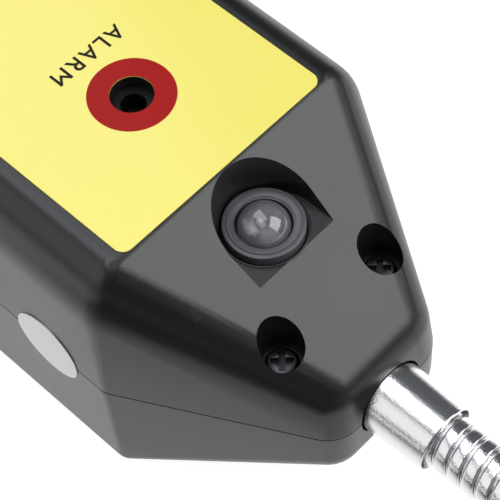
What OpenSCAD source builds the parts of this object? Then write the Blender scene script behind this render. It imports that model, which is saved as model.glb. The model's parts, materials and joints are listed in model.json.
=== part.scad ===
// Refrigerant leak detector: two-piece housing with a sloped nose, an alarm lamp in a
// pocket, a sounder, a sensitivity wheel, a battery bay and a bendable probe.
// +X points along the probe, +Y to the left, +Z up. The origin is the middle of the base.

/* [Housing] */
// Length of the straight part, from the tail to the crease of the nose
straight_l = 140; // [132:1:160]
// Length of the tapered nose
nose_l = 37.1; // [36:0.1:40]
// Height of the closed housing
body_h = 62; // [61:0.5:68]
// Height of the parting line above the base
lower_h = 28.2; // [27.6:0.2:30]
// Width at the parting line
part_w = 66; // [65:0.5:76]
// Width at the top face, before rounding
top_w = 65.5; // [64:0.1:66]
// Width at the base, before rounding
base_w = 65; // [64:0.5:66]
// Width of the front of the nose at the parting line, before rounding
front_w = 25.5; // [24.5:0.1:28]
// Height of the front of the nose above the parting line, before rounding
front_rise = 10; // [9.8:0.1:11]
// Depth of the front of the nose below the parting line, before rounding
front_drop = 12.2; // [11.4:0.1:13]
// How far the top edge of the front leans back behind the parting line
front_lean = 0.5; // [0:0.1:0.8]
// Rounding of the upper edges, across the top face
edge_r = 8; // [6:0.25:8]
// How far the rounding of the long upper edges reaches down the sides
edge_deep = 13; // [9:0.5:14]
// How far the upper corners stay behind the crease
corner_back = 0.6; // [0:0.1:1.2]
// Rounding of the upright corners
corner_r = 4; // [3.2:0.2:6]
// Rounding of the lower edges
base_r = 3.6; // [3.2:0.2:5]
// Rounding of the upright corners and the lower edge of the front
front_r = 7; // [6:0.1:7.4]
// Rounding of the crease
crease_r = 3; // [2.8:0.2:4]
// Wall of both casings
wall = 2.4; // [2:0.1:2.6]
// Visible gap at the parting line
seam = 0.3; // [0.1:0.05:0.5]

/* [Face label] */
// Width of the label
label_w = 47.5; // [40:0.5:50]
// Length of the label, back from the crease
label_l = 127; // [110:1:130]
// Thickness of the label
label_t = 0.25; // [0.1:0.05:0.4]
// Corner rounding of the label
label_r = 2; // [1:0.5:4]

/* [Sounder] */
// Distance of the sounder behind the crease
sounder_set = 22.1; // [20:0.1:26]
// Diameter of the port in the top face
port_d = 7.8; // [5:0.1:9]
// Diameter of the sounder
sounder_d = 22; // [18:0.5:24]
// Height of the sounder
sounder_h = 8; // [6:0.5:10]
// Diameter of the hole in the sounder itself
sounder_hole_d = 4.6; // [2:0.1:5]
// Play between the sounder and its seat
sounder_gap = 0.2; // [0.1:0.05:0.4]

/* [Alarm lamp] */
// Distance of the lamp ahead of the crease
lamp_set = 8.3; // [8:0.1:9]
// Diameter of the clear lamp
lamp_d = 9.6; // [8:0.1:10]
// Outer diameter of the lamp collar
collar_d = 14.4; // [12:0.1:14.6]
// Depth of the lamp pocket below the top face
pocket_deep = 10.2; // [10:0.1:11]
// Width of the lamp pocket at its floor
pocket_w = 18; // [17:0.1:19]
// Draft of the pocket's walls, in degrees
pocket_draft = 7; // [4:0.5:8]
// Strip of casing left between the crease and the back of the pocket
pocket_rim = 0.2; // [0.1:0.1:0.6]
// Gap around the collar where it comes through the pocket floor
collar_gap = 0.25; // [0.15:0.05:0.3]
// How far the collar stands above the pocket floor
collar_up = 1.9; // [0.5:0.1:2.5]
// How far the centre of the dome lies below the top of the collar
dome_sink = 2; // [1:0.1:3]
// Play of the lamp in its collar
lamp_gap = 0.15; // [0.1:0.05:0.3]
// Width of the lip round the top of the collar
collar_lip = 0.7; // [0.5:0.05:0.9]
// Width and depth of the ring line inside the lip
ring_line = 0.2; // [0.1:0.05:0.3]

/* [Casing screws] */
// Distance of the screws ahead of the crease
screw_set = 23.5; // [22.5:0.1:24]
// Distance between the two screws
screw_pitch = 24.6; // [24:0.1:25.4]
// Diameter of the deep wells
well_d = 8; // [7:0.1:8.2]
// Diameter of the screw head
head_d = 6; // [5:0.1:6.4]
// Height of the screw head
head_h = 2.4; // [2:0.1:2.8]
// Length of the cross recess in the screw head
cross_l = 4; // [3:0.1:4.4]
// Width of the cross recess
cross_w = 1.1; // [0.8:0.05:1.4]
// Depth of the cross recess
cross_deep = 1.5; // [1:0.1:1.8]
// Diameter of the screw shank
shank_d = 3; // [2.5:0.1:3.2]
// Length of the screw shank
shank_l = 18; // [14:0.5:20]
// Height of the head's seat above the parting line
seat_rise = 10.4; // [8:0.1:11]
// Play of the shank in the upper casing
shank_gap = 0.2; // [0.1:0.05:0.3]
// Play of the shank in the post of the lower casing
thread_gap = 0.03; // [0.02:0.01:0.08]

/* [Ferrule] */
// Diameter where the ferrule leaves the housing
ferrule_d = 14; // [13.6:0.1:14.2]
// Diameter at the mouth
mouth_d = 12.6; // [12.3:0.1:13.2]
// Length outside the housing
ferrule_l = 11.9; // [8:0.1:18]
// Gap between the ferrule and the edge of its opening
outlet_gap = 0.4; // [0.2:0.05:0.5]
// Extra thickness of the front wall round the outlet
front_pad = 1.2; // [1:0.1:1.6]
// Diameter of the holding flange inside the housing
flange_d = 16.4; // [16:0.1:16.6]
// Thickness of the holding flange
flange_t = 2.6; // [2:0.1:3]
// Play of the flange between its two webs
flange_gap = 0.1; // [0.05:0.05:0.2]
// Rounding of the mouth's lip
lip_r = 0.5; // [0.3:0.1:0.6]

/* [Gooseneck] */
// Outer diameter of the wound strip
neck_d = 10.6; // [10:0.1:10.8]
// Depth of the groove between two turns
groove_deep = 0.55; // [0.4:0.05:0.6]
// Bore through the gooseneck
neck_bore_d = 7.6; // [7:0.1:7.8]
// Length of one turn
turn_l = 3.06; // [2.9:0.02:3.4]
// Width of the raised band of one turn
band_w = 1.95; // [1.7:0.05:2.1]
// Number of turns in one stretch
turns = 8; // [6:1:10]
// Bend of one stretch against the next, each way, in degrees
bend = 18; // [10:1:18]
// Upward bend at the first stretch at rest, in degrees
first_rise = 4.5; // [0:0.5:8]
// Upward bend at every other later stretch at rest, in degrees
later_rise = 3; // [0:0.5:5]
// Gap left between two stretches at the end of the bend
bend_gap = 0.06; // [0.04:0.01:0.1]
// Radial play of each ball collar in its socket
ball_gap = 0.08; // [0.04:0.01:0.1]
// Play of the gooseneck in both ferrules
neck_gap = 0.35; // [0.2:0.05:0.5]

/* [Probe head] */
// Length of the probe ferrule
probe_l = 14; // [12:0.5:20]
// Length of the sensor guard
guard_l = 24; // [20:0.5:32]
// Wall of the sensor guard
guard_wall = 1; // [0.8:0.1:1.2]
// Diameter of the sensor element
element_d = 6; // [5:0.1:6.6]
// Length of the sensor element
element_l = 11; // [8:0.5:14]
// Number of slots round the guard
slots = 6; // [4:1:8]
// Width of one slot
slot_w = 1.8; // [1:0.1:2]

/* [Sensitivity wheel] */
// Distance of the wheel behind the crease
wheel_set = 66; // [64:0.5:68]
// Diameter of the wheel
wheel_d = 20; // [18:0.5:20.5]
// Width of the wheel
wheel_w = 6; // [4:0.5:7]
// How far the wheel stands out of the top face
wheel_up = 2.2; // [1.6:0.1:2.6]
// Number of notches round the wheel
notches = 30; // [20:1:36]
// Diameter of one notch
notch_d = 1.2; // [0.8:0.1:1.4]
// Gap between the wheel and its slot
slot_gap = 0.6; // [0.4:0.1:1]
// Diameter of the wheel's axle
axle_d = 4; // [3:0.1:5]
// Radial play of the axle
axle_gap = 0.05; // [0.03:0.01:0.1]

/* [Circuit board] */
// Thickness of the board
board_t = 1.6; // [1.2:0.1:2]
// Depth of the board's upper face below the top face
board_deep = 18.4; // [18:0.1:19]
// Half the width of the board
board_half = 23; // [22:0.5:24]
// Diameter of the board screws
board_screw_d = 2.4; // [2:0.1:2.6]
// Distance of the board screws from the middle
board_screw_y = 19; // [18.5:0.1:19.5]
// Length of a board screw under its head
board_screw_l = 8; // [6:0.5:10]
// Length of the control chip
chip_l = 20; // [14:0.5:24]
// Width of the control chip
chip_w = 8; // [6:0.5:10]
// Height of the control chip
chip_h = 3.4; // [2:0.1:4]
// Distance of the chip and the transformer ahead of the wheel
chip_set = 16; // [15:0.5:18]
// Length of the transformer
coil_l = 16; // [12:0.5:18]
// Width of the transformer
coil_w = 14; // [10:0.5:15]
// Height of the transformer
coil_h = 12; // [8:0.5:13]
// Diameter of the capacitors
can_d = 8; // [5:0.5:9]
// Height of the capacitors
can_h = 11; // [8:0.5:13]
// Distance between the two capacitors
can_pitch = 11; // [9.5:0.5:12]
// Distance of the rear capacitor behind the crease
can_set = 20; // [18:0.5:24]
// Distance of the parts on the board from its middle or its edge
part_in = 6; // [4:0.5:7]
// Length of the lead's plug
plug_l = 10; // [8:0.5:11]
// Width and height of the lead's plug
plug_w = 6; // [4:0.5:7]

/* [Battery bay] */
// Diameter of one cell
cell_d = 26.2; // [25:0.1:26.4]
// Length of one cell with its nub
cell_l = 50; // [46:0.5:51]
// Gap between the two cells
cell_gap = 1; // [0.6:0.1:1.2]
// Height of the underside of the cells above the base
cell_z = 5.6; // [5.4:0.1:6]
// Thickness of the contact plates
plate_t = 0.5; // [0.4:0.1:0.8]
// Length of the pressed springs
spring_l = 5; // [4:0.25:6]
// Wire of the springs
spring_wire = 0.8; // [0.6:0.1:1]
// Half the width of the battery opening
door_half = 27.2; // [27:0.1:27.6]
// Height of the door's upstand in the tail
upstand_h = 12; // [10:0.5:12.5]
// Gap round the door
door_gap = 0.3; // [0.2:0.05:0.4]
// How far the door's face lies above the base plane
door_sink = 0.3; // [0.2:0.05:0.5]
// How far the door's tongues reach into the rails
tongue_w = 1.7; // [1:0.1:1.9]
// Thickness of the door's tongues
tongue_t = 1.4; // [1:0.1:1.6]

/* [Seal sticker] */
// Diameter of the sticker
sticker_d = 15; // [10:0.5:18]
// Thickness of the sticker
sticker_t = 0.2; // [0.1:0.05:0.3]
// Distance of the sticker behind the crease
sticker_set = 14.4; // [12:0.2:24]

/* [Hidden] */
$fn = 64;
// Fineness of the rounded corners of both casings
form_fn = 32;
eps = 0.01;
// Height of the straight band at the parting line
mid_h = 1;
far = 300;

crease_x = straight_l / 2;
tail_x = -straight_l / 2;
front_x = crease_x + nose_l;
front_top = lower_h + front_rise;
front_base = lower_h - front_drop;
top_slope = atan((body_h - front_top) / nose_l);
base_slope = atan(front_base / nose_l);
taper = atan((part_w - front_w) / 2 / nose_l);
corner_share = tan((90 - taper) / 2);
front_cx = front_x - front_r;
front_cy = front_w / 2 - front_r * corner_share;
brow_r = front_lean + edge_r;
brow_cx = front_x - brow_r;
brow_cy = front_w / 2 - brow_r * corner_share;
inner_top = body_h - wall;
upper_z = lower_h + seam;

lamp_x = crease_x + lamp_set;
pocket_z = body_h - pocket_deep;
pocket_x = crease_x + pocket_rim + pocket_w / 2 + pocket_deep * tan(pocket_draft);
collar_top = pocket_z + collar_up;
sounder_x = crease_x - sounder_set;
sounder_top = inner_top - sounder_gap;
screw_x = crease_x + screw_set;
screw_y = screw_pitch / 2;
seat_z = lower_h + seat_rise;
boss_r = well_d / 2 + 1.6;
post_r = shank_d / 2 + 3;

flange_x = front_x - wall - front_pad - flange_gap;
web_x = flange_x - flange_t - flange_gap;
web_t = 2.4;
web_r = mouth_d / 2 + 0.5;
neck_r = neck_d / 2;
ferrule_bore_r = neck_r + neck_gap;
mouth_x = front_x + ferrule_l;

link_l = turns * turn_l;
links = 10;
floor_r = neck_r - groove_deep;
joint_gap = neck_r * tan(bend / 2) + bend_gap;
socket_r = floor_r - 0.15;
ball_r = socket_r - ball_gap;
pivot_x = mouth_x + 1.4;
root_l = pivot_x - web_x + 1;
guard_r = ferrule_d / 2;

wheel_x = crease_x - wheel_set;
wheel_z = body_h + wheel_up - wheel_d / 2;
wheel_cut = inner_top - wheel_z;
wheel_slot_l = 2 * (sqrt(pow(wheel_d / 2, 2) - pow(wheel_cut, 2)) + slot_gap);
pot_y = wheel_w / 2 + 0.5;
pot_w = 9;
pot_l = 13;

board_top = body_h - board_deep;
board_z = board_top - board_t;
board_back = wheel_x - 13;
board_front = lamp_x + 6;
board_screw_back = board_back + 5;
board_screw_front = crease_x - 5;
board_head_d = board_screw_d * 1.9;
board_head_h = 1.6;

cell_y = (cell_d + cell_gap) / 2;
cell_axis = cell_z + cell_d / 2;
bay_back = tail_x + wall;
cell_back = bay_back + plate_t;
bay_front = cell_back + cell_l + spring_l + plate_t;
bay_wall = 2;
rail_w = 5;
rail_z = wall + 0.8;
rail_top = rail_z + tongue_t + 2 * door_gap;
rail_y = door_half + tongue_w + door_gap;
up_half = rail_y + door_gap;

// Shapes shared by several parts

// Round corner of a given radius and half height, with points exactly at its poles,
// so that flat faces come out exact
module corner_form(r, half_h) {
    rotate_extrude($fn = form_fn)
        polygon([for (step = [0 : form_fn / 2])
            let (angle = -90 + step * 360 / form_fn)
            [r * cos(angle), half_h * sin(angle)]]);
}

module corner_ball(r) {
    corner_form(r, r);
}

// Outline of the closed housing, moved inwards by the given amount
module body_form(inset) {
    bar_half = top_w / 2 - edge_r - corner_back;
    brow_z = body_h - tan(top_slope) * (brow_cx - crease_x) - edge_r / cos(top_slope);
    front_z_low = tan(base_slope) * (front_cx - crease_x) + front_r / cos(base_slope);
    edge_reach = sqrt(pow(edge_r * sin(top_slope), 2) + pow(edge_deep * cos(top_slope), 2));
    crease_up = crease_x - corner_back - (edge_reach - edge_deep * cos(top_slope)) / sin(top_slope);
    crease_low = crease_x - base_r * tan(base_slope / 2);
    crease_mid = crease_x - corner_r * tan(taper / 2);
    bar_x = crease_x - crease_r * tan(top_slope / 2);
    hull() {
        for (side = [-1, 1]) {
            translate([tail_x + edge_r, side * (top_w / 2 - edge_r), body_h - edge_deep])
                corner_form(edge_r - inset, edge_deep - inset);
            translate([crease_up, side * (top_w / 2 - edge_r), body_h - edge_deep])
                corner_form(edge_r - inset, edge_deep - inset);
            translate([brow_cx, side * brow_cy, brow_z])
                corner_ball(edge_r - inset);
            translate([tail_x + corner_r, side * (part_w / 2 - corner_r), lower_h])
                cylinder(r = corner_r - inset, h = mid_h, center = true, $fn = form_fn);
            translate([crease_mid, side * (part_w / 2 - corner_r), lower_h])
                cylinder(r = corner_r - inset, h = mid_h, center = true, $fn = form_fn);
            translate([front_cx, side * front_cy, lower_h])
                cylinder(r = front_r - inset, h = mid_h, center = true, $fn = form_fn);
            translate([tail_x + base_r, side * (base_w / 2 - base_r), base_r])
                corner_ball(base_r - inset);
            translate([crease_low, side * (base_w / 2 - base_r), base_r])
                corner_ball(base_r - inset);
            translate([front_cx, side * front_cy, front_z_low])
                corner_ball(front_r - inset);
        }
        translate([bar_x, 0, body_h - crease_r])
            rotate([90, 0, 0])
                cylinder(r = crease_r - inset, h = 2 * bar_half, center = true, $fn = form_fn);
    }
}

// Everything above a given height
module above(z) {
    translate([-far, -far, z])
        cube([3 * far, 2 * far, far]);
}

// Everything below a given height
module below(z) {
    translate([-far, -far, z - far])
        cube([3 * far, 2 * far, far]);
}

// Round bar along X that starts at the given distance
module bar_x(start, length, r) {
    translate([start, 0, 0])
        rotate([0, 90, 0])
            cylinder(r = r, h = length);
}

// Turned shape along X from an outline of radius and distance
module turned(outline) {
    rotate([0, 90, 0])
        rotate_extrude()
            polygon(outline);
}

// Drafted pocket with a round back, open to the front
module pocket(half, z, h) {
    wide = half + h * tan(pocket_draft);
    translate([pocket_x, 0, z]) {
        cylinder(r1 = half, r2 = wide, h = h);
        rotate([90, 0, 90])
            linear_extrude(height = nose_l)
                polygon([[-half, 0], [half, 0], [wide, h], [-wide, h]]);
    }
}

// Left and right copies of a child
module both_sides(y) {
    for (side = [-1, 1])
        translate([0, side * y, 0])
            children();
}

// The four places of the board screws
module at_board_screws(z) {
    for (x = [board_screw_back, board_screw_front])
        for (side = [-1, 1])
            translate([x, side * board_screw_y, z])
                children();
}

// Web across the nose and pad on its front, which trap the ferrule's flange
module ferrule_webs() {
    translate([web_x - web_t, -far, -far])
        cube([web_t, 2 * far, 2 * far]);
    translate([flange_x + flange_gap, -far, -far])
        cube([front_pad + wall, 2 * far, 2 * far]);
}

// Opening for the ferrule through the front and its web
module outlet_cut() {
    translate([0, 0, lower_h]) {
        bar_x(flange_x - 1, front_pad + wall + 2, ferrule_d / 2 + outlet_gap);
        bar_x(web_x - web_t - 1, web_t + 2, web_r + outlet_gap);
    }
}

// Upper casing

module upper_inside() {
    intersection() {
        body_form(wall / 2);
        union() {
            pocket(pocket_w / 2 + wall, pocket_z - wall, body_h);
            translate([sounder_x, 0, sounder_top - sounder_h * 0.6])
                cylinder(d = sounder_d + 2 * sounder_gap + 3, h = body_h);
            both_sides(screw_y)
                translate([screw_x, 0, lower_h + eps])
                    cylinder(r = boss_r, h = body_h);
            at_board_screws(board_top)
                cylinder(d = board_screw_d + 3.4, h = body_h);
            intersection() {
                ferrule_webs();
                above(upper_z);
            }
        }
    }
}

module upper_casing() {
    color("#1b1b1c")
        difference() {
            union() {
                difference() {
                    intersection() {
                        body_form(0);
                        above(upper_z);
                    }
                    body_form(wall);
                }
                upper_inside();
            }
            pocket(pocket_w / 2, pocket_z, body_h);
            translate([lamp_x, 0, 0])
                cylinder(d = collar_d + 2 * collar_gap, h = body_h);
            translate([sounder_x, 0, 0])
                cylinder(d = port_d, h = 2 * body_h);
            translate([sounder_x, 0, lower_h])
                cylinder(d = sounder_d + 2 * sounder_gap, h = inner_top - lower_h);
            both_sides(screw_y) {
                translate([screw_x, 0, seat_z])
                    cylinder(d = well_d, h = body_h);
                translate([screw_x, 0, 0])
                    cylinder(d = shank_d + 2 * shank_gap, h = body_h);
            }
            at_board_screws(board_z)
                cylinder(d = board_screw_d + 2 * thread_gap, h = inner_top - board_z - 3);
            translate([wheel_x - wheel_slot_l / 2, -wheel_w / 2 - slot_gap, inner_top - 1])
                cube([wheel_slot_l, wheel_w + 2 * slot_gap, wall + 2]);
            outlet_cut();
        }
}

// Lower casing

module lower_inside() {
    intersection() {
        body_form(wall / 2);
        union() {
            both_sides(screw_y)
                translate([screw_x, 0, 0])
                    cylinder(r = post_r, h = lower_h);
            intersection() {
                ferrule_webs();
                below(lower_h);
            }
            translate([bay_front, -far, 0])
                cube([bay_wall, 2 * far, lower_h]);
            both_sides(door_half + rail_w / 2)
                translate([tail_x, -rail_w / 2, 0])
                    cube([bay_front - tail_x, rail_w, rail_top + 1.5]);
        }
    }
}

module lower_casing() {
    color("#1b1b1c")
        difference() {
            union() {
                difference() {
                    intersection() {
                        body_form(0);
                        below(lower_h);
                    }
                    body_form(wall);
                }
                lower_inside();
            }
            both_sides(screw_y)
                translate([screw_x, 0, seat_z - shank_l - 0.5])
                    cylinder(d = shank_d + 2 * thread_gap, h = body_h);
            translate([tail_x - 1, -door_half, -1])
                cube([bay_front - tail_x + 1, 2 * door_half, rail_top + 4]);
            translate([tail_x - 1, -rail_y, rail_z])
                cube([bay_front - tail_x + 1, 2 * rail_y, rail_top - rail_z]);
            translate([tail_x - 1, -up_half, -1])
                cube([wall + 1, 2 * up_half, upstand_h + 1]);
            outlet_cut();
        }
}

// Battery door, slides out towards the tail

module battery_door() {
    panel_half = door_half - door_gap;
    panel_l = bay_front - tail_x - door_gap;
    tongue_z = rail_z + door_gap;
    web_in = 2.4;
    color("#1b1b1c") {
        intersection() {
            difference() {
                body_form(0);
                body_form(wall);
            }
            union() {
                translate([tail_x - 1, -panel_half, door_sink])
                    cube([panel_l + 1, 2 * panel_half, wall + 1]);
                translate([tail_x - 1, -up_half + door_gap, door_sink])
                    cube([wall + 1 - door_gap / 2, 2 * (up_half - door_gap), upstand_h - door_gap - door_sink]);
            }
        }
        for (side = [-1, 1]) {
            translate([tail_x + wall - eps, side * (panel_half - web_in / 2) - web_in / 2, wall - 0.4])
                cube([panel_l - wall, web_in, tongue_z + tongue_t - wall + 0.4]);
            translate([tail_x + wall - eps, side * (panel_half + tongue_w / 2 - 0.3) - tongue_w / 2 - 0.3, tongue_z])
                cube([panel_l - wall, tongue_w + 0.6, tongue_t]);
        }
    }
}

// Label, screws, lamp, sounder and sticker

module face_label() {
    back_x = crease_x - label_l;
    color("#f5e650")
        difference() {
            translate([back_x, 0, body_h])
                linear_extrude(height = label_t)
                    union() {
                        translate([0, -label_w / 2 + label_r])
                            square([label_l, label_w - 2 * label_r]);
                        translate([label_r, -label_w / 2])
                            square([label_l - 2 * label_r, label_w]);
                        for (x = [label_r, label_l - label_r])
                            for (side = [-1, 1])
                                translate([x, side * (label_w / 2 - label_r)])
                                    circle(r = label_r);
                    }
            translate([sounder_x, 0, 0])
                cylinder(d = port_d, h = 2 * body_h);
            translate([wheel_x - wheel_slot_l / 2, -wheel_w / 2 - slot_gap, body_h - 1])
                cube([wheel_slot_l, wheel_w + 2 * slot_gap, wall + 2]);
        }
}

module casing_screws() {
    color("#4a4b4e")
        both_sides(screw_y)
            translate([screw_x, 0, seat_z])
                difference() {
                    union() {
                        translate([0, 0, -shank_l])
                            cylinder(d = shank_d, h = shank_l + eps);
                        rotate_extrude()
                            polygon([[0, 0], [head_d / 2, 0], [head_d / 2, head_h * 0.6],
                                [head_d * 0.4, head_h * 0.92], [head_d * 0.25, head_h], [0, head_h]]);
                    }
                    for (turn = [45, 135])
                        rotate([0, 0, turn])
                            translate([-cross_l / 2, -cross_w / 2, head_h - cross_deep])
                                cube([cross_l, cross_w, head_h]);
                }
}

module lamp() {
    lens_r = lamp_d / 2;
    dome_z = collar_top - dome_sink;
    lens_z = board_top + 2.5;
    lead_y = 1.27;
    color("#c9cdd0")
        translate([lamp_x, 0, 0]) {
            translate([0, 0, lens_z])
                cylinder(r = lens_r, h = dome_z - lens_z);
            intersection() {
                translate([0, 0, dome_z])
                    sphere(r = lens_r);
                above(dome_z - eps);
            }
            both_sides(lead_y)
                translate([0, 0, board_z - 1])
                    cylinder(r = 0.3, h = lens_z - board_z + 1.5);
        }
}

module lamp_collar() {
    bore = lamp_d / 2 + lamp_gap;
    outer = collar_d / 2;
    lip_in = outer - collar_lip;
    rim = 0.5;
    color("#18181a")
        translate([lamp_x, 0, 0])
            rotate_extrude()
                polygon([[bore, board_top], [outer, board_top], [outer, collar_top - rim],
                    [outer - rim / 2, collar_top - ring_line / 2], [lip_in, collar_top - ring_line / 2],
                    [lip_in, collar_top - ring_line], [lip_in - ring_line, collar_top - ring_line],
                    [lip_in - ring_line, collar_top], [bore + rim, collar_top], [bore, collar_top - rim]]);
}

module sounder() {
    color("#101012")
        translate([sounder_x, 0, sounder_top - sounder_h])
            difference() {
                cylinder(d = sounder_d, h = sounder_h);
                translate([0, 0, sounder_h / 2])
                    cylinder(d = sounder_hole_d, h = sounder_h);
            }
}

module seal_sticker() {
    color("#dfe1e2")
        difference() {
            intersection() {
                body_form(-sticker_t);
                translate([crease_x - sticker_set, 0, lower_h])
                    rotate([90, 0, 0])
                        cylinder(d = sticker_d, h = part_w);
            }
            body_form(0);
        }
}

// Electronics

module circuit_board() {
    neck_half = 15;
    color("#2c6b3f")
        difference() {
            translate([0, 0, board_z])
                linear_extrude(height = board_t)
                    polygon([[board_back, -board_half], [crease_x, -board_half], [board_front, -neck_half],
                        [board_front, neck_half], [crease_x, board_half], [board_back, board_half]]);
            at_board_screws(board_z - 1)
                cylinder(d = board_screw_d + 0.3, h = board_t + 2);
            both_sides(1.27)
                translate([lamp_x, 0, board_z - 1])
                    cylinder(r = 0.45, h = board_t + 2);
        }
}

module board_components() {
    part_x = wheel_x + chip_set;
    color("#2a2a2e") {
        translate([part_x, -board_half + part_in, board_top])
            cube([chip_l, chip_w, chip_h]);
        translate([part_x, board_half - part_in - coil_w, board_z - coil_h])
            cube([coil_l, coil_w, coil_h]);
        for (step = [0, 1])
            translate([crease_x - can_set + step * can_pitch, -part_in - can_d / 4, board_z - can_h])
                cylinder(d = can_d, h = can_h);
        translate([crease_x - plug_l - 2, part_in, board_z - plug_w])
            cube([plug_l, plug_w, plug_w]);
    }
}

module board_screws() {
    color("#8b8d90")
        at_board_screws(board_z - board_head_h) {
            cylinder(d = board_head_d, h = board_head_h);
            cylinder(d = board_screw_d, h = board_head_h + board_screw_l);
        }
}

module control_pot() {
    color("#2b3f66")
        difference() {
            translate([wheel_x - pot_l / 2, pot_y, board_top])
                cube([pot_l, pot_w, inner_top - 0.8 - board_top]);
            translate([wheel_x, pot_y - 1, wheel_z])
                rotate([-90, 0, 0])
                    cylinder(r = axle_d / 2 + axle_gap, h = pot_w);
        }
}

module control_wheel() {
    color("#26262a")
        translate([wheel_x, 0, wheel_z])
            rotate([-90, 0, 0])
                difference() {
                    union() {
                        cylinder(d = wheel_d, h = wheel_w, center = true);
                        cylinder(d = axle_d, h = pot_y + pot_w - 2);
                    }
                    for (step = [0 : notches - 1])
                        rotate([0, 0, (step + 0.5) * 360 / notches])
                            translate([wheel_d / 2 + notch_d * 0.1, 0, 0])
                                cylinder(d = notch_d, h = wheel_w + 2, center = true, $fn = 16);
                }
}

// Wire drawn as a chain of rings along a path
function ring_at(path, step, r, sides) =
    let (ahead = path[min(step + 1, len(path) - 1)])
    let (back = path[max(step - 1, 0)])
    let (along = (ahead - back) / norm(ahead - back))
    let (guide = abs(along[2]) < 0.9 ? [0, 0, 1] : [1, 0, 0])
    let (across = cross(guide, along) / norm(cross(guide, along)))
    let (up = cross(along, across))
    [for (k = [0 : sides - 1])
        path[step] + r * (cos(k * 360 / sides) * across + sin(k * 360 / sides) * up)];

module wire(path, r, sides) {
    rings = len(path);
    points = [for (step = [0 : rings - 1]) each ring_at(path, step, r, sides)];
    skin = [for (step = [0 : rings - 2])
        for (k = [0 : sides - 1])
            [step * sides + k, (step + 1) * sides + k,
                (step + 1) * sides + (k + 1) % sides, step * sides + (k + 1) % sides]];
    start = [[for (k = [0 : sides - 1]) k]];
    end = [[for (k = [sides - 1 : -1 : 0]) (rings - 1) * sides + k]];
    polyhedron(points, concat(skin, start, end));
}

module sensor_lead() {
    lead_r = 1.6;
    from_x = crease_x + 2;
    drop = board_z - lower_h;
    reach = mouth_x - 4 - from_x;
    color("#3a3a3c")
        wire([[from_x, 0, board_z], [from_x, 0, board_z - drop * 0.3], [from_x + reach * 0.04, 0, board_z - drop * 0.6],
            [from_x + reach * 0.13, 0, board_z - drop * 0.85], [from_x + reach * 0.28, 0, board_z - drop * 0.97],
            [from_x + reach * 0.45, 0, lower_h], [from_x + reach, 0, lower_h]], lead_r, 10);
}

// Battery bay

module one_cell() {
    nub_r = 3.3;
    nub_l = 1.5;
    rim = 0.8;
    cell_r = cell_d / 2;
    turned([[0, 0], [cell_r - rim, 0], [cell_r, rim], [cell_r, cell_l - nub_l - rim],
        [cell_r - rim, cell_l - nub_l], [nub_r, cell_l - nub_l], [nub_r, cell_l], [0, cell_l]]);
}

module battery_cells() {
    color("#8d7a3a") {
        translate([cell_back + spring_l, -cell_y, cell_axis])
            one_cell();
        translate([cell_back + cell_l, cell_y, cell_axis])
            mirror([1, 0, 0])
                one_cell();
    }
}

module one_plate() {
    high = 11;
    cube_half = 9;
    translate([0, -cube_half, -high / 2])
        cube([plate_t, 2 * cube_half, high]);
}

module contact_plates() {
    color("#b9bbbd")
        both_sides(cell_y) {
            translate([bay_back, 0, cell_axis])
                one_plate();
            translate([bay_front - plate_t, 0, cell_axis])
                one_plate();
        }
}

// Coil of a contact spring, from the plate at distance 0 to the cell
module one_spring() {
    coils = 3;
    steps = 14 * coils;
    wide = 5;
    narrow = 3.4;
    span = spring_l - spring_wire - 0.1;
    wire([for (k = [0 : steps])
        let (turn = k * 360 * coils / steps)
        let (r = wide + (narrow - wide) * k / steps)
        [spring_wire / 2 + 0.05 + span * k / steps, r * cos(turn), r * sin(turn)]], spring_wire / 2, 6);
}

module contact_springs() {
    color("#c4c6c8") {
        translate([cell_back, -cell_y, cell_axis])
            one_spring();
        translate([bay_front - plate_t, cell_y, cell_axis])
            mirror([1, 0, 0])
                one_spring();
    }
}

// Ferrule, gooseneck and probe head

module outlet_ferrule() {
    base_r = ferrule_d / 2;
    tip_r = mouth_d / 2;
    tail_r = web_r;
    tail = web_x - web_t - 2;
    color("#d7d9db")
        translate([0, 0, lower_h])
            turned([[ferrule_bore_r, tail], [tail_r, tail], [tail_r, web_x + flange_gap],
                [flange_d / 2, web_x + flange_gap], [flange_d / 2, flange_x], [base_r, flange_x],
                [base_r, front_x], [tip_r, mouth_x - lip_r], [tip_r - lip_r * 0.3, mouth_x - lip_r * 0.3],
                [tip_r - lip_r, mouth_x], [ferrule_bore_r + lip_r * 0.4, mouth_x],
                [ferrule_bore_r, mouth_x - lip_r * 0.4]]);
}

// Outline of the wound strip between two distances, bands trimmed at both ends
function strip(start, count) = [for (k = [0 : count - 1])
    let (low = start + k * turn_l + (turn_l - band_w) / 2)
    let (high = low + band_w)
    let (first = k == 0 ? max(low, start + joint_gap) : low)
    let (last = k == count - 1 ? min(high, start + count * turn_l - joint_gap) : high)
    each [[floor_r, first], [neck_r - 0.18, first], [neck_r, first + 0.18],
        [neck_r, last - 0.18], [neck_r - 0.18, last], [floor_r, last]]];

// One stretch of the gooseneck, from its pivot along +X
module stretch(count, has_socket, has_ball) {
    length = count * turn_l;
    difference() {
        union() {
            turned(concat([[0, joint_gap]], strip(0, count), [[0, length - joint_gap]]));
            if (has_ball)
                translate([length, 0, 0])
                    rotate([0, 90, 0])
                        sphere(r = ball_r);
        }
        bar_x(-link_l, 3 * link_l, neck_bore_d / 2);
        if (has_socket)
            rotate([0, 90, 0])
                sphere(r = socket_r);
    }
}

// Upward angle of a stretch at rest, and the place of its pivot
function heading(k) = k == 1 ? first_rise : heading(k - 1) + (k % 2 == 1 ? later_rise : 0);
function pivot(k) = k == 1 ? [pivot_x, 0, lower_h] :
    pivot(k - 1) + link_l * [cos(heading(k - 1)), 0, sin(heading(k - 1))];

module at_stretch(k) {
    translate(pivot(k))
        rotate([0, -heading(k), 0])
            children();
}

module neck_link(k) {
    color("#cfd1d4")
        at_stretch(k)
            stretch(turns, true, k < links);
}

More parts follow.
